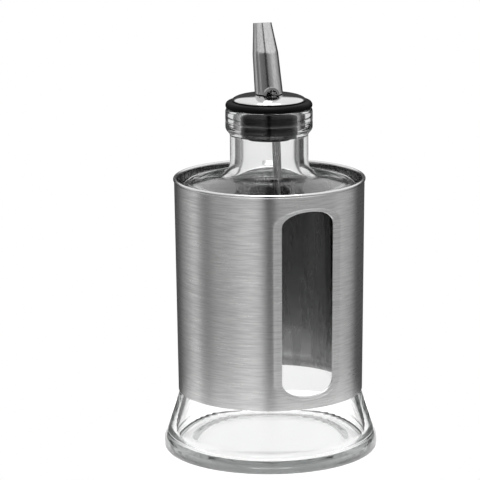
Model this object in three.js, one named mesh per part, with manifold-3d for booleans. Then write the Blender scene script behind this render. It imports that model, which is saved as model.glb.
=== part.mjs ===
// Table oil bottle: a clear glass bottle in a brushed steel sleeve with a window,
// closed by a rubber stopper that carries a turning steel pouring spout.
//
// Millimetres, +Z up. The origin is the centre of the foot, on the surface it stands on.
// The sleeve's window faces -Y. A bearing is an angle about +Z from -Y, positive towards +X.

import * as THREE from "three";
import { mergeVertices } from "three/addons/utils/BufferGeometryUtils.js";
import Module from "manifold-3d";

const wasm = await Module();
wasm.setup();

// ---- Driving dimensions ----

const roundSegments = 48;
const smallSegments = 24;
const curveSteps = 4;

// What touches or nests keeps one of these gaps.
const restGap = 0.3;
const turningGap = 0.1;

// How far a cutting solid runs past what it cuts, and the size of a block that cuts all beyond it.
const overrun = 3;
const blockSize = 40;

// Entries in square brackets are points of the bottle's section, as [radius, height].
const glass = {
  footRadius: 40.1,
  footCorner: 2.4,
  flankStart: [39.7, 4.6],
  flankCurve: [33.5, 21.2],
  bodyRadius: 33.5,
  bodyBottom: 24.5,
  bodyTop: 97.5,
  bodyCurve: [33.5, 100.6],
  shoulderOuter: [29.5, 101.5],
  shoulderInner: [20.5, 103.9],
  neckCurve: [14.2, 106.2],
  neckRadius: 14.2,
  neckFoot: 112.5,
  neckTop: 119.0,
  bandUnderside: [15.1, 120.2],
  bandRadius: 15.95,
  bandBottom: 121.6,
  bandCorner: 1.2,
  top: 129.0,
  puntDepth: 0.9,
  puntRadius: 27,
  puntRimRadius: 29.5,
};

const hollow = {
  mouthCorner: 0.8,
  boreRadius: 10.6,
  boreBottom: 111.0,
  boreCurve: [10.6, 103.4],
  shoulderInner: [19.0, 101.3],
  shoulderOuter: [26.8, 99.2],
  radius: 30.7,
  topCurve: 98.0,
  top: 94.8,
  bottom: 26.5,
  bottomCurve: 22.0,
  flankEnd: [35.6, 8.4],
  floorCurveRadius: 36.9,
  floorRadius: 32.5,
  floor: 3.2,
};

const sleeve = {
  bottom: 22.7,
  top: 101.2,
  bottomRadius: 34.42,
  topRadius: 35.26,
  sheet: 0.5,
  beadRadius: 1.0,
  beadStandOut: 0.35,
};

const sleeveWindow = {
  bottom: 27.3,
  top: 96.7,
  width: 20.8,
  corner: 8,
};

const stopper = {
  flangeRadius: 16.1,
  flangeTop: 131.5,
  plugBottom: 120.4,
  ribHeight: 0.6,
  ribCount: 4,
  tipRadius: 8.2,
  tipEndRadius: 6.5,
  tipCurve: [7.9, 117.9],
  bottom: 117.6,
  lipGrip: 0.3,
};

const disc = {
  radius: 13.5,
  edgeHeight: 132.0,
  rise: 2.1,
  sheet: 0.5,
  rimWidth: 1.2,
  holeRadius: 4.9,
};

const core = {
  bottom: 119.8,
  outerRadius: 5.6,
  sheet: 0.5,
};

const spout = {
  wall: 0.45,
  leanBearing: 170.25,
  bendOffset: 4.65,
  bendRise: 14.0,
  tipOffset: 8.9,
  tipRise: 24.7,
  baseRadius: 5.2,
  bendRadius: 4.75,
  tipRadius: 3.4,
  tipCutTilt: 8,
};

const vent = {
  bearing: -13.75,
  outerRadius: 2.9,
  innerRadius: 2.2,
  reach: 6.0,
};

const airTube = {
  outerRadius: 1.55,
  innerRadius: 1.15,
  top: 135.4,
  topOffset: 2.95,
  topBearing: 14.4,
  bottom: 90,
  bottomOffset: 3.56,
  bottomBearing: 69.1,
};

// ---- Helpers ----

const degrees = THREE.MathUtils.degToRad;

// The point at a bearing and distance from the bottle's axis, at a height.
function pointAt(bearing, distance, height) {
  const angle = degrees(bearing);
  return new THREE.Vector3(distance * Math.sin(angle), -distance * Math.cos(angle), height);
}

// A solid turned about Z from an outline drawn as (radius, height).
function turned(outline, segments = roundSegments) {
  return new THREE.LatheGeometry(outline, segments).rotateX(Math.PI / 2);
}

// The closed outline of a path that ends where it started.
function closedOutline(path) {
  const points = path.getPoints(curveSteps);
  points.push(points[0].clone());
  return points;
}

function toManifold(geometry) {
  const bare = geometry.clone();
  bare.deleteAttribute("normal");
  bare.deleteAttribute("uv");
  const merged = mergeVertices(bare, 1e-4);
  return new wasm.Manifold(new wasm.Mesh({
    numProp: 3,
    vertProperties: Float32Array.from(merged.attributes.position.array),
    triVerts: Uint32Array.from(merged.index.array),
  }));
}

function fromManifold(solid) {
  const mesh = solid.getMesh();
  const geometry = new THREE.BufferGeometry();
  geometry.setAttribute("position", new THREE.BufferAttribute(mesh.vertProperties, 3));
  geometry.setIndex(new THREE.BufferAttribute(mesh.triVerts, 1));
  geometry.computeVertexNormals();
  return geometry;
}

// A cone or cylinder from one point to another, as a manifold solid.
function rod(start, end, startRadius, endRadius, segments = smallSegments) {
  const along = new THREE.Vector3().subVectors(end, start);
  const geometry = new THREE.CylinderGeometry(endRadius, startRadius, along.length(), segments);
  const up = new THREE.Vector3(0, 1, 0);
  geometry.applyQuaternion(new THREE.Quaternion().setFromUnitVectors(up, along.clone().normalize()));
  geometry.translate(...new THREE.Vector3().addVectors(start, end).multiplyScalar(0.5).toArray());
  return toManifold(geometry);
}

function ball(centre, radius) {
  const geometry = new THREE.SphereGeometry(radius, smallSegments, smallSegments / 2);
  return toManifold(geometry.translate(...centre.toArray()));
}

// ---- Glass bottle ----

function glassBottle() {
  const cornerStart = glass.footRadius - glass.footCorner;
  const { bandRadius, bandCorner } = glass;
  const { boreRadius, mouthCorner } = hollow;
  const outline = new THREE.Path();

  // Underside: a shallow punt inside a flat foot ring.
  outline.moveTo(0, glass.puntDepth);
  outline.lineTo(glass.puntRadius, glass.puntDepth);
  outline.lineTo(glass.puntRimRadius, 0);
  outline.lineTo(cornerStart, 0);

  // Outside: rounded foot, flared flank, straight body, low shoulder.
  outline.absarc(cornerStart, glass.footCorner, glass.footCorner, -Math.PI / 2, 0, false);
  outline.lineTo(...glass.flankStart);
  outline.quadraticCurveTo(...glass.flankCurve, glass.bodyRadius, glass.bodyBottom);
  outline.lineTo(glass.bodyRadius, glass.bodyTop);
  outline.quadraticCurveTo(...glass.bodyCurve, ...glass.shoulderOuter);
  outline.lineTo(...glass.shoulderInner);

  // Neck with a concave foot, then the band round the mouth.
  outline.quadraticCurveTo(...glass.neckCurve, glass.neckRadius, glass.neckFoot);
  outline.lineTo(glass.neckRadius, glass.neckTop);
  outline.lineTo(...glass.bandUnderside);
  outline.lineTo(bandRadius, glass.bandBottom);
  outline.lineTo(bandRadius, glass.top - bandCorner);
  outline.quadraticCurveTo(bandRadius, glass.top, bandRadius - bandCorner, glass.top);
  outline.lineTo(boreRadius + mouthCorner, glass.top);

  // Inside: bore, underside of the shoulder, body and floor.
  outline.quadraticCurveTo(boreRadius, glass.top, boreRadius, glass.top - mouthCorner);
  outline.lineTo(boreRadius, hollow.boreBottom);
  outline.quadraticCurveTo(...hollow.boreCurve, ...hollow.shoulderInner);
  outline.lineTo(...hollow.shoulderOuter);
  outline.quadraticCurveTo(hollow.radius, hollow.topCurve, hollow.radius, hollow.top);
  outline.lineTo(hollow.radius, hollow.bottom);
  outline.quadraticCurveTo(hollow.radius, hollow.bottomCurve, ...hollow.flankEnd);
  outline.quadraticCurveTo(hollow.floorCurveRadius, hollow.floor, hollow.floorRadius, hollow.floor);
  outline.lineTo(0, hollow.floor);
  return turned(outline.getPoints(curveSteps));
}

// ---- Steel sleeve ----

function sleeveShell() {
  const { beadRadius, sheet } = sleeve;
  const beadAxis = sleeve.topRadius + sleeve.beadStandOut - beadRadius;
  const beadHeight = sleeve.top + beadRadius;
  const joinAngle = Math.acos((sleeve.topRadius - beadAxis) / beadRadius);
  const innerJoinAngle = Math.acos((sleeve.topRadius - sheet - beadAxis) / beadRadius);
  const outline = new THREE.Path();
  outline.moveTo(sleeve.bottomRadius - sheet, sleeve.bottom);
  outline.lineTo(sleeve.bottomRadius, sleeve.bottom);
  outline.absarc(beadAxis, beadHeight, beadRadius, -joinAngle, 2 * Math.PI - innerJoinAngle, false);
  return turned(closedOutline(outline));
}

// The window's upright round-cornered outline, pushed through the wall on the -Y side.
function windowCutter() {
  const half = sleeveWindow.width / 2;
  const { bottom, top, corner } = sleeveWindow;
  const outline = new THREE.Shape();
  outline.moveTo(half, bottom + corner);
  outline.lineTo(half, top - corner);
  outline.absarc(half - corner, top - corner, corner, 0, Math.PI / 2, false);
  outline.absarc(corner - half, top - corner, corner, Math.PI / 2, Math.PI, false);
  outline.absarc(corner - half, bottom + corner, corner, Math.PI, 1.5 * Math.PI, false);
  outline.absarc(half - corner, bottom + corner, corner, 1.5 * Math.PI, 2 * Math.PI, false);
  const block = new THREE.ExtrudeGeometry(outline, {
    depth: 2 * sleeve.topRadius,
    bevelEnabled: false,
    curveSegments: 2 * curveSteps,
  });
  return toManifold(block.rotateX(Math.PI / 2));
}

function steelSleeve() {
  return fromManifold(toManifold(sleeveShell()).subtract(windowCutter()));
}

// ---- Rubber stopper ----

function rubberStopper() {
  const plugRadius = hollow.boreRadius - restGap;
  const flangeBottom = glass.top + restGap;
  const flangeCorner = (stopper.flangeTop - flangeBottom) / 2;
  const cornerAxis = stopper.flangeRadius - flangeCorner;
  const holeRadius = core.outerRadius + turningGap;
  const lipHoleRadius = core.outerRadius - core.sheet - stopper.lipGrip;
  const ribPitch = (flangeBottom - stopper.plugBottom) / stopper.ribCount;
  const outline = new THREE.Path();

  // Lip and tapered end below the plug.
  outline.moveTo(lipHoleRadius, stopper.bottom);
  outline.lineTo(stopper.tipEndRadius, stopper.bottom);
  outline.quadraticCurveTo(...stopper.tipCurve, stopper.tipRadius, stopper.plugBottom);

  // Plug with round ribs that grip the bore.
  outline.lineTo(plugRadius - stopper.ribHeight, stopper.plugBottom);
  for (let rib = 0; rib < stopper.ribCount; rib += 1) {
    const ribBottom = stopper.plugBottom + rib * ribPitch;
    outline.quadraticCurveTo(plugRadius + stopper.ribHeight, ribBottom + ribPitch / 2,
      plugRadius - stopper.ribHeight, ribBottom + ribPitch);
  }

  // Flange with a rounded edge, lying on the mouth.
  outline.lineTo(cornerAxis, flangeBottom);
  outline.absarc(cornerAxis, flangeBottom + flangeCorner, flangeCorner,
    -Math.PI / 2, Math.PI / 2, false);

  // Hole that the core tube turns in.
  outline.lineTo(holeRadius, stopper.flangeTop);
  outline.lineTo(holeRadius, core.bottom - restGap);
  outline.lineTo(lipHoleRadius, core.bottom - restGap);
  return turned(closedOutline(outline));
}

// ---- Turning spout: disc, core tube, spout, breather ----

function collarDisc() {
  const { radius, edgeHeight, rise, sheet, rimWidth, holeRadius } = disc;
  const outline = new THREE.Path();
  outline.moveTo(holeRadius, edgeHeight + rise - sheet);
  outline.lineTo(radius - rimWidth, edgeHeight - sheet / 2);
  outline.lineTo(radius - sheet / 2, edgeHeight - sheet / 2);
  outline.absarc(radius - sheet / 2, edgeHeight, sheet / 2, -Math.PI / 2, Math.PI / 3, false);
  outline.lineTo(holeRadius, edgeHeight + rise);
  return turned(closedOutline(outline));
}

function coreTube() {
  const innerRadius = core.outerRadius - core.sheet;
  const top = disc.edgeHeight + disc.rise - disc.sheet - 2 * restGap;
  const outline = new THREE.Path();
  outline.moveTo(innerRadius, core.bottom);
  outline.lineTo(core.outerRadius, core.bottom);
  outline.lineTo(core.outerRadius, top);
  outline.lineTo(innerRadius, top);
  return turned(closedOutline(outline));
}

// The tapering, bent form of the spout, its wall drawn in by an inset.
function spoutForm(foot, bend, tip, inset) {
  const lowerRun = new THREE.Vector3().subVectors(bend, foot).normalize();
  const upperRun = new THREE.Vector3().subVectors(tip, bend).normalize();
  const belowFoot = foot.clone().addScaledVector(lowerRun, -overrun);
  const beyondTip = tip.clone().addScaledVector(upperRun, overrun);
  const bendRadius = spout.bendRadius - inset;
  const lower = rod(belowFoot, bend, spout.baseRadius - inset, bendRadius);
  const upper = rod(bend, beyondTip, bendRadius, spout.tipRadius - inset);
  return lower.add(upper).add(ball(bend, bendRadius));
}

// A block whose lower face cuts across at a point, its normal leaning towards a bearing.
function blockAbove(point, bearing, tilt) {
  const block = new THREE.BoxGeometry(blockSize, blockSize, blockSize);
  block.translate(0, 0, blockSize / 2);
  block.rotateX(-degrees(tilt));
  block.rotateZ(degrees(bearing - 180));
  return toManifold(block.translate(...point.toArray()));
}

function spoutTube() {
  const footHeight = disc.edgeHeight + disc.rise + restGap;
  const foot = new THREE.Vector3(0, 0, footHeight);
  const bend = pointAt(spout.leanBearing, spout.bendOffset, footHeight + spout.bendRise);
  const tip = pointAt(spout.leanBearing, spout.tipOffset, footHeight + spout.tipRise);
  const below = blockAbove(new THREE.Vector3(0, 0, footHeight - blockSize), 180, 0);
  const beyond = blockAbove(tip, spout.leanBearing, spout.tipCutTilt);

  // The arched vent: a short level tube pushed out through the front of the foot.
  const ventEnd = pointAt(vent.bearing, vent.reach, footHeight);
  const ventStart = pointAt(vent.bearing, vent.reach / 2, footHeight);
  const hood = rod(ventStart, ventEnd, vent.outerRadius, vent.outerRadius);
  const airWay = rod(foot, ventEnd.clone().multiplyScalar(2).sub(ventStart),
    vent.innerRadius, vent.innerRadius);

  const tube = spoutForm(foot, bend, tip, 0).add(hood)
    .subtract(spoutForm(foot, bend, tip, spout.wall))
    .subtract(airWay)
    .subtract(below)
    .subtract(beyond);
  return fromManifold(tube);
}

function breatherTube() {
  const top = pointAt(airTube.topBearing, airTube.topOffset, airTube.top);
  const bottom = pointAt(airTube.bottomBearing, airTube.bottomOffset, airTube.bottom);
  const run = new THREE.Vector3().subVectors(top, bottom).normalize();
  const boreStart = bottom.clone().addScaledVector(run, -overrun);
  const boreEnd = top.clone().addScaledVector(run, overrun);
  const sides = smallSegments / 2;
  const body = rod(bottom, top, airTube.outerRadius, airTube.outerRadius, sides);
  const bore = rod(boreStart, boreEnd, airTube.innerRadius, airTube.innerRadius, sides);
  return fromManifold(body.subtract(bore));
}

// ---- Materials and assembly ----

function steel(color, roughness) {
  return new THREE.MeshStandardMaterial({ color, roughness, metalness: 1 });
}

const clearGlass = new THREE.MeshStandardMaterial({
  color: 0xe8eeee, roughness: 0.03, metalness: 0, transparent: true, opacity: 0.35,
});
const brushedSteel = steel(0xb4b4b2, 0.38);
const polishedSteel = steel(0xd2d2d2, 0.08);
const satinSteel = steel(0xbdbdbb, 0.28);
const tubeSteel = steel(0xa9a9a8, 0.3);
const coreSteel = steel(0xa2a2a0, 0.35);
const blackRubber = new THREE.MeshStandardMaterial({ color: 0x121212, roughness: 0.5, metalness: 0 });

function piece(name, geometry, material) {
  const mesh = new THREE.Mesh(geometry, material);
  mesh.name = name;
  return mesh;
}

const turningSpout = new THREE.Group();
turningSpout.add(
  piece("collar_disc", collarDisc(), polishedSteel),
  piece("core_tube", coreTube(), coreSteel),
  piece("spout_tube", spoutTube(), satinSteel),
  piece("air_tube", breatherTube(), tubeSteel),
);

const oilBottle = new THREE.Group();
oilBottle.add(
  piece("glass_bottle", glassBottle(), clearGlass),
  piece("steel_sleeve", steelSleeve(), brushedSteel),
  piece("rubber_stopper", rubberStopper(), blackRubber),
  turningSpout,
);

export default oilBottle;
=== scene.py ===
"""Glass oil bottle in a brushed steel sleeve: the looks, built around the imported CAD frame.

Outlines and sizes are in millimetres and become metres where a mesh is made.
A bearing is an angle about +Z in degrees, measured from -Y towards +X.
"""

import math

import bmesh
import bpy
from mathutils import Matrix, Vector


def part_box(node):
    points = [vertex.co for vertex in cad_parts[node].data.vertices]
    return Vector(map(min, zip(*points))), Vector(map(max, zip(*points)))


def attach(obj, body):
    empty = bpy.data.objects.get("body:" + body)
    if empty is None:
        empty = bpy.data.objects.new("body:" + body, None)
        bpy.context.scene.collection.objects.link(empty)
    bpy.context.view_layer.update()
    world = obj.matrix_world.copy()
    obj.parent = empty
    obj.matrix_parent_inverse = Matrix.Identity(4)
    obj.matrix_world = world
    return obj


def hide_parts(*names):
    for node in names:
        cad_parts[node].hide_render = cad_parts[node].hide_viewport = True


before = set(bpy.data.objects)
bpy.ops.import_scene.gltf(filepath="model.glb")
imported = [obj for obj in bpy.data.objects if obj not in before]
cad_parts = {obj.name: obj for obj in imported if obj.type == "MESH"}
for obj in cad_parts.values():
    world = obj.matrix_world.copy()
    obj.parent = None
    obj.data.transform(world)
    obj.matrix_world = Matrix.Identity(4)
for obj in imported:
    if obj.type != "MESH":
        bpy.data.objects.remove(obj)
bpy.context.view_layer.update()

MM = 0.001
UP = Vector((0, 0, 1))


# ---- Sizes read from the frame ----

def box_mm(node):
    """A CAD node's lowest and highest corners, in millimetres."""
    low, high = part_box(node)
    return low / MM, high / MM


def centre_between(node, low, high, least_radius=0.0):
    """The middle of the box round a CAD node's vertices between two heights, in millimetres."""
    found = []
    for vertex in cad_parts[node].data.vertices:
        point = vertex.co / MM
        if low <= point.z <= high and math.hypot(point.x, point.y) >= least_radius:
            found.append(point)
    lowest = Vector(min(p[axis] for p in found) for axis in range(3))
    highest = Vector(max(p[axis] for p in found) for axis in range(3))
    return (lowest + highest) / 2


GLASS_HIGH = box_mm("glass_bottle")[1]
SLEEVE_LOW, SLEEVE_HIGH = box_mm("steel_sleeve")
STOPPER_LOW, STOPPER_HIGH = box_mm("rubber_stopper")
DISC_LOW, DISC_HIGH = box_mm("collar_disc")
CORE_LOW, CORE_HIGH = box_mm("core_tube")
SPOUT_LOW, SPOUT_HIGH = box_mm("spout_tube")
AIR_LOW, AIR_HIGH = box_mm("air_tube")

FOOT_RADIUS = GLASS_HIGH.x
FOOT_EDGE = 4.4
PUNT_DEPTH = 0.9
PUNT_RADIUS = 27.0
FOOT_RING_RADIUS = 29.6
BODY_RADIUS = 33.5
BODY_BOTTOM = 21.2
BODY_TOP = 101.0
GLASS_WALL = 2.8
GLASS_FLOOR = 3.2
SHOULDER_RADIUS = 20.5
SHOULDER_TOP = 103.9
NECK_RADIUS = 14.45
NECK_BOTTOM = 104.6
NECK_TOP = 119.3
BAND_RADIUS = 16.1
BAND_BOTTOM = 121.3
BAND_GROOVE = 124.3
GROOVE_DEPTH = 0.18
BORE_RADIUS = 10.6
BORE_BOTTOM = 103.4

BEAD_RADIUS = 0.7
BEAD_STAND_OUT = 0.35
SHEET = 0.5
SLEEVE_TOP_RADIUS = SLEEVE_HIGH.x - BEAD_STAND_OUT
SLEEVE_BOTTOM_RADIUS = SLEEVE_TOP_RADIUS - 0.84
BEAD_HEIGHT = SLEEVE_HIGH.z - BEAD_RADIUS

FLANGE_RADIUS = STOPPER_HIGH.x
DISC_RADIUS = DISC_HIGH.x


# ---- Outlines ----

def rounded(corners, steps=8):
    """Points of a (radius, height) outline whose corners are rounded.

    Each corner is (radius, height, cut) or (radius, height, cut before, cut after): the curve
    leaves the straight line that far before the corner and joins the next one that far after.
    """
    points = []
    for index, corner in enumerate(corners):
        here = Vector(corner[:2])
        cuts = corner[2:] or (0,)
        before, after = cuts[0], cuts[-1]
        if before == 0:
            points.append(here)
            continue
        back = (Vector(corners[index - 1][:2]) - here).normalized()
        ahead = (Vector(corners[(index + 1) % len(corners)][:2]) - here).normalized()
        start = here + back * before
        end = here + ahead * after
        for step in range(steps + 1):
            t = step / steps
            points.append(start * (1 - t) ** 2 + here * (2 * t * (1 - t)) + end * t ** 2)
    return points


def glass_outline():
    """Half the bottle's section: underside, outside, mouth, inside."""
    top = GLASS_HIGH.z
    inner = BODY_RADIUS - GLASS_WALL
    return rounded([
        (0, PUNT_DEPTH),
        (PUNT_RADIUS, PUNT_DEPTH, 1.2),
        (FOOT_RING_RADIUS, 0, 1.0),
        (FOOT_RADIUS, 0, 2.2, 2.0),
        (FOOT_RADIUS, FOOT_EDGE, 1.6, 1.2),
        (BODY_RADIUS, BODY_BOTTOM, 16.8, 3.3),
        (BODY_RADIUS, BODY_TOP, 3.6, 4.0),
        (SHOULDER_RADIUS, SHOULDER_TOP, 2.0, 1.2),
        (NECK_RADIUS, NECK_BOTTOM, 4.4, 5.0),
        (NECK_RADIUS, NECK_TOP, 0.8),
        (BAND_RADIUS, BAND_BOTTOM, 0.9),
        (BAND_RADIUS, BAND_GROOVE - 0.3, 0.5),
        (BAND_RADIUS - GROOVE_DEPTH, BAND_GROOVE, 0.3),
        (BAND_RADIUS, BAND_GROOVE + 0.3, 0.3),
        (BAND_RADIUS, top, 1.5),
        (BORE_RADIUS, top, 1.0),
        (BORE_RADIUS, BORE_BOTTOM, 7.6, 7.0),
        (26.8, 99.2, 3.0),
        (inner, 98.4, 3.6, 3.6),
        (inner, 22.0, 4.5, 12.0),
        (36.6, GLASS_FLOOR, 5.0, 4.1),
        (0, GLASS_FLOOR),
    ], steps=14)


def supported(points, near=0.3, step=4.0):
    """An outline with extra points along its long straight runs, so that they shade straight."""
    result = []
    for here, after in zip(points, points[1:]):
        result.append(here)
        length = (after - here).length
        if length < 4 * near:
            continue
        inside = length - 2 * near
        count = max(1, math.ceil(inside / step))
        for index in range(count + 1):
            result.append(here.lerp(after, (near + inside * index / count) / length))
    result.append(points[-1])
    return result


# ---- Mesh builders ----

def new_object(name, mesh_data, body, slot, *replaced):
    """A finished piece: smooth shaded, riding on its body, standing for the CAD nodes named."""
    mesh_data.validate()
    for polygon in mesh_data.polygons:
        polygon.use_smooth = True
    mesh_data.set_sharp_from_angle(angle=math.radians(50))
    piece = bpy.data.objects.new(name, mesh_data)
    bpy.context.scene.collection.objects.link(piece)
    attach(piece, body)
    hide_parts(*replaced)
    return piece


def finish_mesh(name, mesh):
    """The mesh data of a bmesh whose faces are made to point outwards."""
    bmesh.ops.remove_doubles(mesh, verts=mesh.verts, dist=0.001 * MM)
    bmesh.ops.recalc_face_normals(mesh, faces=mesh.faces)
    data = bpy.data.meshes.new(name)
    mesh.to_mesh(data)
    mesh.free()
    return data


def bridge(mesh, ring, next_ring, closed=True):
    """Faces between two rows of vertices of equal length."""
    count = len(ring)
    for index in range(count if closed else count - 1):
        after = (index + 1) % count
        corners = [ring[index], ring[after], next_ring[after], next_ring[index]]
        distinct = list(dict.fromkeys(corners))
        if len(distinct) >= 3:
            mesh.faces.new(distinct)


def turned(name, outline, segments=192):
    """An outline turned about Z: it starts and ends on the axis, or closes on itself."""
    mesh = bmesh.new()
    rings = []
    on_axis = outline[0].x < 1e-6
    path = supported(outline if on_axis else outline + outline[:1])
    for radius, height in path:
        if radius < 1e-6:
            rings.append([mesh.verts.new((0, 0, height * MM))] * segments)
            continue
        ring = []
        for index in range(segments):
            angle = 2 * math.pi * index / segments
            ring.append(mesh.verts.new((radius * MM * math.cos(angle),
                                        radius * MM * math.sin(angle), height * MM)))
        rings.append(ring)
    for ring, next_ring in zip(rings, rings[1:]):
        bridge(mesh, ring, next_ring)
    return finish_mesh(name, mesh)


# ---- Node helpers ----

def new_material(name):
    material = bpy.data.materials.new(name)
    material.use_nodes = True
    return material, material.node_tree, material.node_tree.nodes["Principled BSDF"]


def streaks(tree, along_x, along_y, along_z, detail=2.0, roughness=0.55):
    """Noise stretched by its scales, per metre, along the piece's own axes."""
    coordinates = tree.nodes.new("ShaderNodeTexCoord")
    mapping = tree.nodes.new("ShaderNodeMapping")
    mapping.inputs["Scale"].default_value = (along_x, along_y, along_z)
    noise = tree.nodes.new("ShaderNodeTexNoise")
    noise.inputs["Scale"].default_value = 1.0
    noise.inputs["Detail"].default_value = detail
    noise.inputs["Roughness"].default_value = roughness
    tree.links.new(coordinates.outputs["Object"], mapping.inputs["Vector"])
    tree.links.new(mapping.outputs["Vector"], noise.inputs["Vector"])
    return noise.outputs["Fac"]


def mapped(tree, value, low, high, start=0.3, end=0.7):
    """A value's range from start to end, stretched to low..high."""
    node = tree.nodes.new("ShaderNodeMapRange")
    node.inputs["From Min"].default_value = start
    node.inputs["From Max"].default_value = end
    node.inputs["To Min"].default_value = low
    node.inputs["To Max"].default_value = high
    tree.links.new(value, node.inputs["Value"])
    return node.outputs["Result"]


def tinted(tree, value, dark, light, start=0.3, end=0.7):
    """A grey or colour that runs from dark to light with a value."""
    ramp = tree.nodes.new("ShaderNodeValToRGB")
    ramp.color_ramp.elements[0].position = start
    ramp.color_ramp.elements[0].color = (*dark, 1)
    ramp.color_ramp.elements[1].position = end
    ramp.color_ramp.elements[1].color = (*light, 1)
    tree.links.new(value, ramp.inputs["Fac"])
    return ramp.outputs["Color"]


def bumped(tree, shader, height, distance, strength=1.0):
    """Raises the surface where a value is high."""
    bump = tree.nodes.new("ShaderNodeBump")
    bump.inputs["Distance"].default_value = distance
    bump.inputs["Strength"].default_value = strength
    tree.links.new(height, bump.inputs["Height"])
    tree.links.new(bump.outputs["Normal"], shader.inputs["Normal"])


def added(tree, first, second, share):
    """first * share + second * (1 - share)."""
    mix = tree.nodes.new("ShaderNodeMix")
    mix.inputs["Factor"].default_value = 1 - share
    tree.links.new(first, mix.inputs["A"])
    tree.links.new(second, mix.inputs["B"])
    return mix.outputs["Result"]


# ---- Materials ----

def clear_glass():
    """Clear soda glass with the faint waviness of a blown wall."""
    material, tree, shader = new_material("clear_glass")
    shader.inputs["Base Color"].default_value = (1.0, 1.0, 1.0, 1)
    shader.inputs["Roughness"].default_value = 0.0
    shader.inputs["IOR"].default_value = 1.5
    shader.inputs["Transmission Weight"].default_value = 1.0
    absorption = tree.nodes.new("ShaderNodeVolumeAbsorption")
    absorption.inputs["Color"].default_value = (0.21, 0.24, 0.23, 1)
    absorption.inputs["Density"].default_value = 16.0
    tree.links.new(absorption.outputs["Volume"], tree.nodes["Material Output"].inputs["Volume"])
    waves = streaks(tree, 45, 45, 30, detail=0.0)
    bumped(tree, shader, waves, 0.02 * MM, 0.1)
    return material


def brushed_steel():
    """Stainless sheet brushed round the tube: fine level scratches, crisp across, blurred upright."""
    material, tree, shader = new_material("brushed_sleeve")
    shader.inputs["Metallic"].default_value = 1.0
    shader.inputs["Anisotropic"].default_value = 0.9
    shader.inputs["Anisotropic Rotation"].default_value = 0.25
    fine = streaks(tree, 130, 130, 2300, detail=2.0)
    broad = streaks(tree, 25, 25, 500, detail=2.0)
    scratches = added(tree, fine, broad, 0.8)
    tree.links.new(tinted(tree, scratches, (0.76, 0.76, 0.76), (1.0, 1.0, 0.995), 0.38, 0.62),
                   shader.inputs["Base Color"])
    tree.links.new(mapped(tree, scratches, 0.36, 0.26), shader.inputs["Roughness"])
    bumped(tree, shader, scratches, 0.02 * MM, 0.6)
    tangent = tree.nodes.new("ShaderNodeTangent")
    tangent.direction_type = "RADIAL"
    tangent.axis = "Z"
    tree.links.new(tangent.outputs["Tangent"], shader.inputs["Tangent"])
    return material


def satin_steel(name, dark, light, roughness):
    """Drawn steel with faint upright lines."""
    material, tree, shader = new_material(name)
    shader.inputs["Metallic"].default_value = 1.0
    lines = streaks(tree, 1800, 1800, 60, detail=2.0)
    tree.links.new(tinted(tree, lines, (dark,) * 3, (light,) * 3), shader.inputs["Base Color"])
    tree.links.new(mapped(tree, lines, roughness + 0.05, roughness), shader.inputs["Roughness"])
    bumped(tree, shader, lines, 0.004 * MM, 0.4)
    return material


def inside_steel_painted_shade():
    """The inside of the sleeve: the same sheet without the brushed grain, its base colour darkened as
    painted shade for the shade inside the tube.
    """
    material, tree, shader = new_material("sleeve_inside_painted_shade")
    shader.inputs["Metallic"].default_value = 1.0
    rolled = streaks(tree, 300, 300, 60, detail=3.0)
    # Painted shade: the inside's base colour is kept far darker than the outside's, standing in for
    # the shade inside the tube.
    tree.links.new(tinted(tree, rolled, (0.22, 0.22, 0.22), (0.30, 0.30, 0.30)),
                   shader.inputs["Base Color"])
    tree.links.new(mapped(tree, rolled, 0.30, 0.22), shader.inputs["Roughness"])
    bumped(tree, shader, rolled, 0.01 * MM, 0.4)
    return material


def rolled_steel():
    """The sleeve's rolled rim, burnished by the rollers: fine marks along it."""
    material, tree, shader = new_material("sleeve_rim")
    shader.inputs["Metallic"].default_value = 1.0
    marks = streaks(tree, 120, 120, 3000, detail=2.0)
    tree.links.new(tinted(tree, marks, (0.84, 0.84, 0.84), (0.94, 0.94, 0.94)),
                   shader.inputs["Base Color"])
    tree.links.new(mapped(tree, marks, 0.22, 0.14), shader.inputs["Roughness"])
    bumped(tree, shader, marks, 0.004 * MM, 0.4)
    return material


def polished_steel():
    """Mirror-polished disc with faint turning marks."""
    material, tree, shader = new_material("polished_disc")
    shader.inputs["Metallic"].default_value = 1.0
    smears = streaks(tree, 160, 160, 160, detail=3.0)
    tree.links.new(tinted(tree, smears, (0.78, 0.78, 0.78), (0.86, 0.86, 0.86)),
                   shader.inputs["Base Color"])
    tree.links.new(mapped(tree, smears, 0.10, 0.05), shader.inputs["Roughness"])
    bumped(tree, shader, smears, 0.004 * MM, 0.3)
    return material


def black_rubber():
    """Moulded black rubber: satin, with a fine grain and dusty high spots."""
    material, tree, shader = new_material("black_rubber")
    grain = streaks(tree, 1500, 1500, 1500, detail=3.0)
    dust = streaks(tree, 220, 220, 400, detail=4.0)
    tree.links.new(tinted(tree, dust, (0.003, 0.003, 0.003), (0.009, 0.009, 0.009)),
                   shader.inputs["Base Color"])
    tree.links.new(mapped(tree, dust, 0.34, 0.48), shader.inputs["Roughness"])
    shader.inputs["Specular IOR Level"].default_value = 0.06
    bumped(tree, shader, grain, 0.01 * MM, 0.5)
    return material


# ---- Glass bottle ----

def glass_bottle():
    """The bottle, turned as one closed skin from its underside to its inside."""
    data = turned("glass_bottle_blown", glass_outline(), 256)
    piece = new_object("glass_bottle_blown", data, "bottle", "clear_glass", "glass_bottle")
    piece.data.materials.append(clear_glass())


# ---- Steel sleeve ----

WINDOW_HALF = 10.75
WINDOW_BOTTOM = 27.3
WINDOW_TOP = 96.3
WINDOW_CORNER = 10.2
WINDOW_ARCH = 5.6
BORDER_SIDE = 3.0
BORDER_END = 1.2
BORDER_DEPTH = 0.45
# Half the width of the sheet's front part, in which the window is cut.
FRONT_HALF = 16.2
SIDE_STEPS = 24
CORNER_STEPS = 16
END_STEPS = 4
BACK_COLUMNS = 150
BEAD_STEPS = 20


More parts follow.
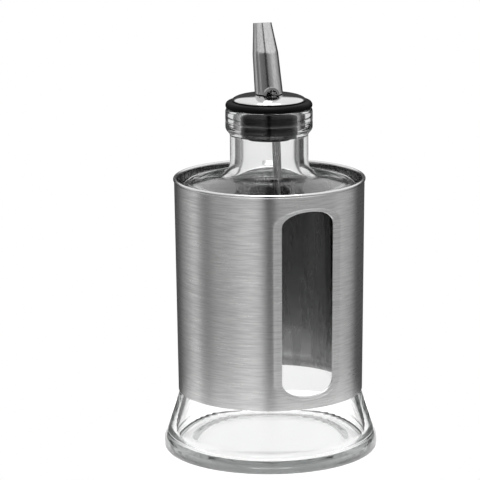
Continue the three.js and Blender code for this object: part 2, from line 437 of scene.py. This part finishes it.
def window_loop(half, bottom, top, corner, arch):
    """An upright opening with arched ends as (arc length, height), anticlockwise from the right.

    Each of its corners is a quarter of an ellipse, corner wide and arch high.
    """
    loop = []
    centres = [(half - corner, top - arch, 0), (corner - half, top - arch, 90),
               (corner - half, bottom + arch, 180), (half - corner, bottom + arch, 270)]
    steps_after = [END_STEPS, SIDE_STEPS, END_STEPS, SIDE_STEPS]
    for index, (across, height, turn) in enumerate(centres):
        for step in range(CORNER_STEPS + 1):
            angle = math.radians(turn + 90 * step / CORNER_STEPS)
            loop.append(Vector((across + corner * math.cos(angle),
                                height + arch * math.sin(angle))))
        next_across, next_height, next_turn = centres[(index + 1) % 4]
        angle = math.radians(next_turn)
        start = loop[-1]
        end = Vector((next_across + corner * math.cos(angle),
                      next_height + arch * math.sin(angle)))
        for step in range(1, steps_after[index]):
            loop.append(start.lerp(end, step / steps_after[index]))
    return loop


def frame_loop(half, bottom, top, inner):
    """A sharp-cornered rectangle with the same count and order of points as the inner loop."""
    loop = []
    corner_centre = WINDOW_HALF - WINDOW_CORNER
    upper = WINDOW_TOP - WINDOW_ARCH
    lower = WINDOW_BOTTOM + WINDOW_ARCH
    stops = [((half, upper), (half, top)), ((half, top), (corner_centre, top)),
             ((-corner_centre, top), (-half, top)), ((-half, top), (-half, upper)),
             ((-half, lower), (-half, bottom)), ((-half, bottom), (-corner_centre, bottom)),
             ((corner_centre, bottom), (half, bottom)), ((half, bottom), (half, lower))]
    half_steps = CORNER_STEPS // 2
    steps_after = [0, END_STEPS, 0, SIDE_STEPS, 0, END_STEPS, 0, SIDE_STEPS]
    for index, (start, end) in enumerate(stops):
        start, end = Vector(start), Vector(end)
        first = 0 if index % 2 == 0 else 1
        for step in range(first, half_steps + 1):
            loop.append(start.lerp(end, step / half_steps))
        following = Vector(stops[(index + 1) % len(stops)][0])
        for step in range(1, steps_after[index]):
            loop.append(end.lerp(following, step / steps_after[index]))
    assert len(loop) == len(inner)
    return loop


def sheet_radius(height):
    """The sleeve's outer radius at a height: it tapers slightly downwards."""
    share = (height - SLEEVE_LOW.z) / (BEAD_HEIGHT - SLEEVE_LOW.z)
    return SLEEVE_BOTTOM_RADIUS + (SLEEVE_TOP_RADIUS - SLEEVE_BOTTOM_RADIUS) * share


def sheet_point(mesh, place, depth):
    """A vertex of the sheet, from its (arc length, height) and how far it lies inside the face."""
    across, height = place
    angle = across / SLEEVE_TOP_RADIUS
    radius = (sheet_radius(height) - depth) * MM
    return mesh.verts.new((radius * math.sin(angle), -radius * math.cos(angle), height * MM))


def sheet_side(mesh, loops, columns, heights, extra_depth):
    """One face of the sheet: rings round the window, then a grid round the back of the tube.

    It returns the ring along the window's edge.
    """
    rings = []
    for loop, depth in loops:
        rings.append([sheet_point(mesh, place, depth + extra_depth) for place in loop])
    for ring, next_ring in zip(rings, rings[1:]):
        bridge(mesh, ring, next_ring)
    grid = [[sheet_point(mesh, (across, height), extra_depth) for height in heights]
            for across in columns]
    for column, next_column in zip(grid, grid[1:]):
        bridge(mesh, column, next_column, closed=False)
    return rings[0]


def between(first, second, share):
    """The loop that lies a share of the way from the first loop to the second."""
    return [a.lerp(b, share) for a, b in zip(first, second)]


def sleeve_sheet(sheet_top):
    """The two faces of the sheet, joined round the window, up to where the rim is rolled."""
    mesh = bmesh.new()
    window = window_loop(WINDOW_HALF, WINDOW_BOTTOM, WINDOW_TOP, WINDOW_CORNER, WINDOW_ARCH)
    border = window_loop(WINDOW_HALF + BORDER_SIDE, WINDOW_BOTTOM - BORDER_END,
                         WINDOW_TOP + BORDER_END, WINDOW_CORNER + BORDER_SIDE,
                         WINDOW_ARCH + BORDER_END)
    outside = frame_loop(FRONT_HALF, SLEEVE_LOW.z, sheet_top, window)

    # Each loop with how far it is pressed in: the border dips from its rim to the window's edge.
    loops = [
        (window, BORDER_DEPTH + 0.12),
        (between(window, border, 0.03), BORDER_DEPTH + 0.02),
        (between(window, border, 0.10), BORDER_DEPTH * 0.92),
        (between(window, border, 0.50), BORDER_DEPTH * 0.62),
        (between(window, border, 0.88), BORDER_DEPTH * 0.36),
        (between(window, border, 0.98), 0.015),
        (between(border, outside, 0.08), 0.0),
        (between(border, outside, 0.30), 0.0),
        (between(border, outside, 0.65), 0.0),
        (outside, 0.0),
    ]
    heights = sorted({round(place.y, 6) for place in outside if place.x > FRONT_HALF - 1e-6})
    circumference = 2 * math.pi * SLEEVE_TOP_RADIUS
    columns = [FRONT_HALF + (circumference - 2 * FRONT_HALF) * index / BACK_COLUMNS
               for index in range(BACK_COLUMNS + 1)]

    outer_edge = sheet_side(mesh, loops, columns, heights, 0.0)
    inner_edge = sheet_side(mesh, loops, columns, heights, SHEET)
    bridge(mesh, outer_edge, inner_edge)
    bmesh.ops.remove_doubles(mesh, verts=mesh.verts, dist=0.001 * MM)
    return mesh


def close_edges(mesh, sheet_top, bead_inner, join):
    """Joins the two faces of the sheet along the bottom, and by a rolled bead along the top."""
    open_edges = [edge for edge in mesh.edges if edge.is_boundary]
    rims = {}
    for edge in open_edges:
        for vertex in edge.verts:
            top = vertex.co.z > sheet_top * MM - 1e-6
            radius = math.hypot(vertex.co.x, vertex.co.y) / MM
            outer = radius > sheet_radius(vertex.co.z / MM) - SHEET / 2
            rims.setdefault((top, outer), set()).add(vertex)

    def around(top, outer):
        return sorted(rims[(top, outer)], key=lambda v: math.atan2(v.co.y, v.co.x))

    bridge(mesh, around(False, True), around(False, False))
    outer, inner = around(True, True), around(True, False)
    inner_join = math.acos((SLEEVE_TOP_RADIUS - SHEET - bead_inner) / BEAD_RADIUS)
    start, end = -join, 2 * math.pi - inner_join
    previous = outer
    for step in range(1, BEAD_STEPS):
        turn = start + (end - start) * step / BEAD_STEPS
        radius = (bead_inner + BEAD_RADIUS * math.cos(turn)) * MM
        height = (BEAD_HEIGHT + BEAD_RADIUS * math.sin(turn)) * MM
        ring = []
        for vertex in outer:
            angle = math.atan2(vertex.co.y, vertex.co.x)
            ring.append(mesh.verts.new((radius * math.cos(angle), radius * math.sin(angle), height)))
        bridge(mesh, previous, ring)
        previous = ring
    bridge(mesh, previous, inner)


def steel_sleeve():
    """The sleeve, brushed outside, darkened inside by painted shade, and burnished on its rolled rim.
    """
    bead_inner = SLEEVE_TOP_RADIUS + BEAD_STAND_OUT - BEAD_RADIUS
    join = math.acos((SLEEVE_TOP_RADIUS - bead_inner) / BEAD_RADIUS)
    sheet_top = BEAD_HEIGHT - BEAD_RADIUS * math.sin(join)
    mesh = sleeve_sheet(sheet_top)
    close_edges(mesh, sheet_top, bead_inner, join)
    data = finish_mesh("sleeve_rolled", mesh)
    piece = new_object("sleeve_rolled", data, "sleeve", "brushed_sleeve", "steel_sleeve")
    piece.data.materials.append(brushed_steel())
    piece.data.materials.append(inside_steel_painted_shade())
    piece.data.materials.append(rolled_steel())
    for polygon in piece.data.polygons:
        outwards = Vector((polygon.center.x, polygon.center.y, 0)).normalized()
        if polygon.center.z > sheet_top * MM:
            polygon.material_index = 2
        # Faces that look inwards take the inside steel, whose dark base colour is painted shade.
        elif polygon.normal.dot(outwards) < -0.5:
            polygon.material_index = 1


# ---- Rubber stopper ----

TIP_RADIUS = 6.9
TIP_TOP_RADIUS = 8.2
PLUG_BOTTOM = 120.4
PLUG_RADIUS = BORE_RADIUS - 0.08
RIB_DEPTH = 0.55
RIB_COUNT = 4
FLANGE_BOTTOM = GLASS_HIGH.z + 0.12
# How deep the disc's seat is sunk into the flange, and the gap below the core tube's end.
SEAT_DEPTH = 0.1
CORE_GAP = 0.15


def rubber_outline():
    """Half the stopper's section: lip, tapered end, ribbed plug, flange, hole."""
    bottom = STOPPER_LOW.z
    top = STOPPER_HIGH.z
    lip_hole = CORE_HIGH.x - 0.8
    hole = CORE_HIGH.x + 0.05
    pitch = (FLANGE_BOTTOM - PLUG_BOTTOM) / RIB_COUNT
    corners = [
        (lip_hole, bottom, 0.2),
        (TIP_RADIUS, bottom, 0.9),
        (TIP_TOP_RADIUS, PLUG_BOTTOM, 0.5),
    ]
    for rib in range(RIB_COUNT):
        low = PLUG_BOTTOM + rib * pitch
        corners.append((PLUG_RADIUS - RIB_DEPTH, low, 0.1))
        corners.append((PLUG_RADIUS, low + 0.32 * pitch, 0.25))
        corners.append((PLUG_RADIUS, low + 0.72 * pitch, 0.25))
        corners.append((PLUG_RADIUS - RIB_DEPTH, low + 0.95 * pitch, 0.1))
    thickness = top - FLANGE_BOTTOM
    corners += [
        (PLUG_RADIUS - RIB_DEPTH, FLANGE_BOTTOM, 0.1),
        (FLANGE_RADIUS - 0.2, FLANGE_BOTTOM, 0.5),
        (FLANGE_RADIUS, FLANGE_BOTTOM + 0.45 * thickness, 0.4),
        (FLANGE_RADIUS - 0.7, top, 0.9, 1.4),
        (DISC_RADIUS - 1.0, top + 0.05, 0.4),
        (DISC_RADIUS - 2.0, top - SEAT_DEPTH, 0.4),
        (hole, top - SEAT_DEPTH, 0.2),
        (hole, CORE_LOW.z - CORE_GAP, 0.1),
        (lip_hole, CORE_LOW.z - CORE_GAP, 0.1),
    ]
    return rounded(corners, 5)


def rubber_stopper():
    """The stopper, turned from its section."""
    data = turned("stopper_moulded", rubber_outline(), 192)
    piece = new_object("stopper_moulded", data, "stopper", "black_rubber", "rubber_stopper")
    piece.data.materials.append(black_rubber())


# ---- Pourer ----

DISC_HOLE_RADIUS = 4.9
DISC_SHEET = 0.5
DISC_RIM = 1.2
DISC_SHOULDER_RADIUS = 11.6


def collar_disc():
    """The coned disc on the flange: a low rim, a short rise and a gently domed middle."""
    edge = DISC_LOW.z + DISC_SHEET / 2
    top = DISC_HIGH.z
    outline = rounded([
        (DISC_HOLE_RADIUS, top - DISC_SHEET, 0.1),
        (DISC_RADIUS - DISC_RIM, edge - DISC_SHEET / 2, 0.2),
        (DISC_RADIUS, edge - DISC_SHEET / 2, 0.24),
        (DISC_RADIUS, edge + 0.22, 0.22, 0.5),
        (DISC_SHOULDER_RADIUS, top - 0.7, 1.6, 4.0),
        (DISC_HOLE_RADIUS, top, 0.1),
    ], 8)
    data = turned("disc_pressed", outline, 192)
    piece = new_object("disc_pressed", data, "pourer", "polished_disc", "collar_disc")
    piece.data.materials.append(polished_steel())


def tube_outline(outer, inner, low, high, edge=0.12):
    """The closed section of a tube's wall, with its edges broken."""
    return rounded([(inner, low, edge), (outer, low, edge), (outer, high, edge),
                    (inner, high, edge)], 4)


CORE_SHEET = 0.5
AIR_OUTER = 1.55
AIR_INNER = 1.15


def core_tube():
    """The hidden tube that carries the disc and the spout through the rubber."""
    outline = tube_outline(CORE_HIGH.x, CORE_HIGH.x - CORE_SHEET, CORE_LOW.z, CORE_HIGH.z)
    piece = new_object("core_drawn", turned("core_drawn", outline, 96), "pourer",
                       "core_steel", "core_tube")
    piece.data.materials.append(satin_steel("core_steel", 0.42, 0.6, 0.28))


def air_tube():
    """The breather tube, leaning from the vent down into the neck."""
    low = centre_between("air_tube", AIR_LOW.z - 1, AIR_LOW.z + 1)
    high = centre_between("air_tube", AIR_HIGH.z - 1, AIR_HIGH.z + 1)
    run = high - low
    data = turned("air_drawn", tube_outline(AIR_OUTER, AIR_INNER, 0, run.length - 0.1), 64)
    turn = UP.rotation_difference(run).to_matrix().to_4x4()
    data.transform(Matrix.Translation(low * MM) @ turn)
    piece = new_object("air_drawn", data, "pourer", "tube_steel", "air_tube")
    piece.data.materials.append(satin_steel("tube_steel", 0.45, 0.62, 0.25))


def swept_form(name, stations, segments):
    """A closed round form through (centre, radius, plane normal) stations, in millimetres."""
    mesh = bmesh.new()
    rings = []
    for centre, radius, normal, along in stations:
        ring = []
        for index in range(segments):
            angle = 2 * math.pi * index / segments
            flat = Vector((math.cos(angle), math.sin(angle), 0)) * radius
            lean = -normal.dot(flat) / normal.dot(along)
            ring.append(mesh.verts.new((centre + flat + along * lean) * MM))
        rings.append(ring)
    for ring, next_ring in zip(rings, rings[1:]):
        bridge(mesh, ring, next_ring)
    mesh.faces.new(rings[0])
    mesh.faces.new(rings[-1])
    return finish_mesh(name, mesh)


SPOUT_WALL = 0.45
SPOUT_FOOT_RADIUS = 5.2
SPOUT_BEND_RADIUS = 4.75
SPOUT_TIP_RADIUS = 3.4
# The bend: its share of the spout's whole lean, its height above the foot and below the tip.
BEND_LEAN = 0.5225
BEND_RISE = 14.0
TIP_RUN = 11.5
TIP_CUT_TILT = 8
RUN_STEPS = 14
SPOUT_SEGMENTS = 96
VENT_OUTER = 2.9
VENT_INNER = 2.1
VENT_REACH = 5.95


def spout_stations(inset, overrun):
    """Rings of the leaning, tapering spout from foot to tip, as swept_form takes them.

    They lie the inset inside the spout's face, and run past both its ends by the overrun.
    """
    foot = Vector((0, 0, SPOUT_LOW.z))
    tip = centre_between("spout_tube", SPOUT_HIGH.z - 1.2, SPOUT_HIGH.z)
    tip.z = SPOUT_HIGH.z - 0.5
    lean = Vector((tip.x, tip.y, 0))
    bend = foot + lean * BEND_LEAN + UP * BEND_RISE
    lower = (bend - foot).normalized()
    upper = (tip - bend).normalized()
    cut = (UP + lean.normalized() * math.tan(math.radians(TIP_CUT_TILT))).normalized()
    middle = (lower + upper).normalized()
    stations = []
    for step in range(RUN_STEPS + 1):
        share = (1 + overrun / BEND_RISE) * step / RUN_STEPS
        radius = SPOUT_BEND_RADIUS + (SPOUT_FOOT_RADIUS - SPOUT_BEND_RADIUS) * share - inset
        normal = middle.lerp(UP, min(share, 1)).normalized()
        stations.insert(0, (bend.lerp(foot, share), radius, normal, lower))
    for step in range(1, RUN_STEPS + 1):
        share = (1 + overrun / TIP_RUN) * step / RUN_STEPS
        radius = SPOUT_BEND_RADIUS + (SPOUT_TIP_RADIUS - SPOUT_BEND_RADIUS) * share - inset
        normal = middle.lerp(cut, min(share, 1)).normalized()
        stations.append((bend.lerp(tip, share), radius, normal, upper))
    return stations


def temporary(name, data):
    """An object that is linked to the scene but isn't a finished piece."""
    obj = bpy.data.objects.new(name, data)
    bpy.context.scene.collection.objects.link(obj)
    return obj


def round_bar(name, start, end, radius, segments=64):
    """A closed bar between two points."""
    run = end - start
    outline = rounded([(0, 0), (radius, 0), (radius, run.length), (0, run.length)])
    data = turned(name, outline, segments)
    turn = UP.rotation_difference(run).to_matrix().to_4x4()
    data.transform(Matrix.Translation(start * MM) @ turn)
    return temporary(name, data)


def combine(target, tool, operation):
    """Applies a boolean and removes the tool."""
    modifier = target.modifiers.new("combine", "BOOLEAN")
    modifier.operation = operation
    modifier.object = tool
    modifier.solver = "EXACT"
    bpy.context.view_layer.update()
    evaluated = target.evaluated_get(bpy.context.evaluated_depsgraph_get())
    data = bpy.data.meshes.new_from_object(evaluated)
    target.modifiers.remove(modifier)
    target.data = data
    bpy.data.objects.remove(tool)


def spout_tube():
    """The spout: its swept form with the vent's hood joined on, bored out and cut off level."""
    vent_middle = centre_between("spout_tube", SPOUT_LOW.z, SPOUT_LOW.z + 3.2, 5.75)
    facing = Vector((vent_middle.x, vent_middle.y, 0)).normalized()
    foot = Vector((0, 0, SPOUT_LOW.z))
    outer_form = swept_form("spout_form", spout_stations(0, 0), SPOUT_SEGMENTS)
    form = temporary("spout_form", outer_form)
    hood = round_bar("hood", foot + facing * 3, foot + facing * VENT_REACH, VENT_OUTER)
    combine(form, hood, "UNION")
    bore_form = swept_form("bore", spout_stations(SPOUT_WALL, 2.0), SPOUT_SEGMENTS)
    bore = temporary("bore", bore_form)
    combine(form, bore, "DIFFERENCE")
    airway = round_bar("airway", foot, foot + facing * 9, VENT_INNER)
    combine(form, airway, "DIFFERENCE")
    below = round_bar("below", foot - UP * 8, foot, 12)
    combine(form, below, "DIFFERENCE")
    data = form.data
    bpy.data.objects.remove(form)
    piece = new_object("spout_formed", data, "pourer", "satin_spout", "spout_tube")
    piece.data.materials.append(satin_steel("satin_spout", 0.58, 0.72, 0.16))


# ---- Stage ----

CAMERA_BEARING = -24.75
CAMERA_DISTANCE = 1.0527
CAMERA_HEIGHT = 0.31286
CAMERA_PITCH = 12.524
CAMERA_ROLL = -0.3
CAMERA_LENS = 217.66
CAMERA_SHIFT = -0.0617


def camera():
    """A long lens at the bottle's left front, a little above it."""
    data = bpy.data.cameras.new("camera")
    data.lens = CAMERA_LENS
    data.sensor_width = 36
    data.shift_x = CAMERA_SHIFT
    data.clip_start = 0.05
    view = bpy.data.objects.new("camera", data)
    bpy.context.scene.collection.objects.link(view)
    bearing = math.radians(CAMERA_BEARING)
    view.location = (CAMERA_DISTANCE * math.sin(bearing), -CAMERA_DISTANCE * math.cos(bearing),
                     CAMERA_HEIGHT)
    aim = Matrix.Rotation(bearing, 3, "Z")
    aim = aim @ Matrix.Rotation(math.radians(90 - CAMERA_PITCH), 3, "X")
    aim @= Matrix.Rotation(math.radians(CAMERA_ROLL), 3, "Z")
    view.rotation_euler = aim.to_euler()
    bpy.context.scene.camera = view


FLOOR_RADIUS = 0.075
FLOOR_DROP = 0.0002


def floor():
    """A small round light table: pale, and lit from within so that nothing on it looks heavy."""
    mesh = bmesh.new()
    bmesh.ops.create_circle(mesh, cap_ends=True, segments=128, radius=FLOOR_RADIUS)
    bmesh.ops.translate(mesh, vec=(0, 0, -FLOOR_DROP), verts=mesh.verts)
    data = finish_mesh("floor", mesh)
    obj = temporary("floor", data)
    material, tree, shader = new_material("floor_white")
    shader.inputs["Roughness"].default_value = 1.0
    shader.inputs["Specular IOR Level"].default_value = 0.0
    shader.inputs["Base Color"].default_value = (0.5, 0.5, 0.5, 1)
    shader.inputs["Emission Color"].default_value = (1, 1, 1, 1)
    shader.inputs["Emission Strength"].default_value = 1.0
    data.materials.append(material)


LIGHT_SIZE = 1.0
LIGHT_POWER = 12
LIGHT_HEIGHT = 1.6


def overhead_light():
    """A wide round soft light straight above."""
    data = bpy.data.lights.new("overhead", "AREA")
    data.shape = "DISK"
    data.size = LIGHT_SIZE
    data.energy = LIGHT_POWER
    lamp = bpy.data.objects.new("overhead", data)
    bpy.context.scene.collection.objects.link(lamp)
    lamp.location = (0, 0, LIGHT_HEIGHT)


# Brightness round the bottle by bearing from the camera: a soft light on each side, dark gaps
# between them, and the white backdrop behind.
AROUND = [
    (-180, 1.0), (-158, 1.0), (-150, 0.17), (-140, 0.18), (-130, 0.26), (-122, 0.35),
    (-115, 0.46), (-108, 0.57), (-102, 0.56), (-97, 0.38), (-91, 0.19), (-82, 0.15),
    (-76, 0.23), (-70, 0.32), (-52, 0.37), (-40, 0.48), (-25, 0.59), (-14, 0.55), (-8, 0.34),
    (-3, 0.04), (4, 0.04), (9, 0.34), (60, 0.34), (88, 0.35), (93, 0.49), (99, 0.44),
    (110, 0.39), (118, 0.34), (125, 0.20), (132, 0.05), (154, 0.06), (162, 1.0),
]
# The same from a little above eye level, where black screens stand beside the camera.
RAISED = [
    (-180, 1.0), (-158, 1.0), (-150, 0.17), (-130, 0.26), (-112, 1.0), (-100, 1.0),
    (-91, 0.19), (-82, 0.15), (-74, 0.5), (-62, 0.45), (-55, 0.16), (-12, 0.11), (-6, 0.01),
    (6, 0.01), (12, 0.17), (44, 0.22), (56, 0.6), (100, 0.8), (122, 0.5), (132, 0.06),
    (154, 0.08), (162, 1.0), (180, 1.0),
]
# The same for what is higher up, where a second light hangs over the camera.
ABOVE = [(-180, 0.9), (-150, 0.9), (-120, 0.75), (-11, 0.8), (-6, 0.02), (6, 0.02), (11, 0.9),
         (120, 0.85), (150, 0.9), (180, 0.9)]
# How far each of these takes over, by elevation, and the ceiling over them all. The upper
# light's edge hangs lower towards the back, by the sag in degrees for each degree of bearing.
RAISED_SHARE = [(-90, 0), (14, 0), (18, 1), (90, 1)]
UPPER_SHARE = [(-90, 0), (36, 0), (38, 1), (90, 1)]
UPPER_SAG = 0.18
CEILING_SHARE = [(-90, 0), (56, 0), (68, 1), (90, 1)]
CEILING = (1.0, 1.0, 1.0, 1)
# The dark gap behind the bottle, below the backdrop's lights. It shows in reflections.
GAP_SHARE = [(-90, 1), (17, 1), (21, 0), (90, 0)]
GAP_BEARINGS = [(-180, 1), (-150, 1), (-130, 0), (130, 0), (150, 1), (180, 1)]
GAP = (0.06, 0.06, 0.06, 1)
# A black flag low in front of the bottle, which keeps the lights out of the neck's glass.
FLAG_SHARE = [(-90, 0), (-12.2, 0), (-11.6, 1), (-9.2, 1), (-8.6, 0), (90, 0)]
FLAG_BEARINGS = [(-180, 0), (-135, 0), (-125, 1), (125, 1), (135, 0), (180, 0)]
FLAG = (0.03, 0.03, 0.03, 1)
# Neither shows through the glass, but for the heights that the bottle's shoulder mirrors.
CLEAR_VIEW = [(-90, 1), (3, 1), (7, 0), (14, 0), (15.5, 1), (90, 1)]


def math_node(tree, operation, first, second=None):
    """The result of a sum on one or two values, each a number or a socket."""
    node = tree.nodes.new("ShaderNodeMath")
    node.operation = operation
    for socket, value in zip(node.inputs, (first, second)):
        if isinstance(value, (int, float)):
            socket.default_value = value
        elif value is not None:
            tree.links.new(value, socket)
    return node.outputs["Value"]


def by_angle(tree, angle, reach, stops):
    """A grey that follows an angle from -reach to reach degrees through (degrees, grey) stops."""
    ramp = tree.nodes.new("ShaderNodeValToRGB")
    elements = ramp.color_ramp.elements
    while len(elements) < len(stops):
        elements.new(0.5)
    for element, (degrees, grey) in zip(elements, stops):
        element.position = (degrees + reach) / (2 * reach)
        element.color = (grey, grey, grey, 1)
    limit = math.radians(reach)
    tree.links.new(mapped(tree, angle, 0, 1, -limit, limit), ramp.inputs["Fac"])
    return ramp.outputs["Color"]


def mixed(tree, share, first, second):
    """A colour that runs from the first to the second, each a colour or a socket."""
    mix = tree.nodes.new("ShaderNodeMix")
    mix.data_type = "RGBA"
    colour_inputs = [socket for socket in mix.inputs if socket.type == "RGBA"]
    tree.links.new(share, mix.inputs["Factor"])
    for socket, value in zip(colour_inputs, (first, second)):
        if isinstance(value, tuple):
            socket.default_value = value
        else:
            tree.links.new(value, socket)
    return next(socket for socket in mix.outputs if socket.type == "RGBA")


def studio():
    """The world: plain white to the camera, and to everything else a photographer's studio."""
    world = bpy.data.worlds.new("studio")
    bpy.context.scene.world = world
    world.use_nodes = True
    tree = world.node_tree
    around = tree.nodes["Background"]
    coordinates = tree.nodes.new("ShaderNodeTexCoord")
    rotate = tree.nodes.new("ShaderNodeVectorRotate")
    rotate.rotation_type = "Z_AXIS"
    rotate.inputs["Angle"].default_value = -math.radians(CAMERA_BEARING)
    tree.links.new(coordinates.outputs["Generated"], rotate.inputs["Vector"])
    split = tree.nodes.new("ShaderNodeSeparateXYZ")
    tree.links.new(rotate.outputs["Vector"], split.inputs["Vector"])
    towards = math_node(tree, "MULTIPLY", split.outputs["Y"], -1.0)
    bearing = math_node(tree, "ARCTAN2", split.outputs["X"], towards)
    elevation = math_node(tree, "ARCSINE", split.outputs["Z"])

    raised_share = by_angle(tree, elevation, 90, RAISED_SHARE)
    sideways = math_node(tree, "MULTIPLY", math_node(tree, "ABSOLUTE", bearing), UPPER_SAG)
    upper_share = by_angle(tree, math_node(tree, "ADD", elevation, sideways), 90, UPPER_SHARE)
    ceiling_share = by_angle(tree, elevation, 90, CEILING_SHARE)
    gap_share = math_node(tree, "MULTIPLY", by_angle(tree, elevation, 90, GAP_SHARE),
                          by_angle(tree, bearing, 180, GAP_BEARINGS))
    seen = tree.nodes.new("ShaderNodeLightPath")
    clear_view = math_node(tree, "MULTIPLY", by_angle(tree, elevation, 90, CLEAR_VIEW),
                           seen.outputs["Is Transmission Ray"])
    reflected = math_node(tree, "SUBTRACT", 1.0, clear_view)
    gap_share = math_node(tree, "MULTIPLY", gap_share, reflected)
    flag_share = math_node(tree, "MULTIPLY", by_angle(tree, elevation, 90, FLAG_SHARE),
                           by_angle(tree, bearing, 180, FLAG_BEARINGS))
    flag_share = math_node(tree, "MULTIPLY", flag_share, reflected)
    light = by_angle(tree, bearing, 180, AROUND)
    light = mixed(tree, raised_share, light, by_angle(tree, bearing, 180, RAISED))
    light = mixed(tree, upper_share, light, by_angle(tree, bearing, 180, ABOVE))
    light = mixed(tree, ceiling_share, light, CEILING)
    light = mixed(tree, gap_share, light, GAP)
    light = mixed(tree, flag_share, light, FLAG)
    tree.links.new(light, around.inputs["Color"])

    backdrop = tree.nodes.new("ShaderNodeBackground")
    backdrop.inputs["Color"].default_value = (1, 1, 1, 1)
    mix = tree.nodes.new("ShaderNodeMixShader")
    tree.links.new(seen.outputs["Is Camera Ray"], mix.inputs["Fac"])
    tree.links.new(around.outputs["Background"], mix.inputs[1])
    tree.links.new(backdrop.outputs["Background"], mix.inputs[2])
    tree.links.new(mix.outputs["Shader"], tree.nodes["World Output"].inputs["Surface"])


GLASS_BOUNCES = 32


def light_paths():
    """Lets light bounce as often as it has to inside the thick glass of the foot."""
    cycles = bpy.context.scene.cycles
    cycles.max_bounces = GLASS_BOUNCES
    cycles.glossy_bounces = GLASS_BOUNCES
    cycles.transmission_bounces = GLASS_BOUNCES


camera()
glass_bottle()
steel_sleeve()
rubber_stopper()
collar_disc()
core_tube()
air_tube()
spout_tube()
floor()
overhead_light()
studio()
bpy.context.scene.view_settings.view_transform = "Standard"
light_paths()
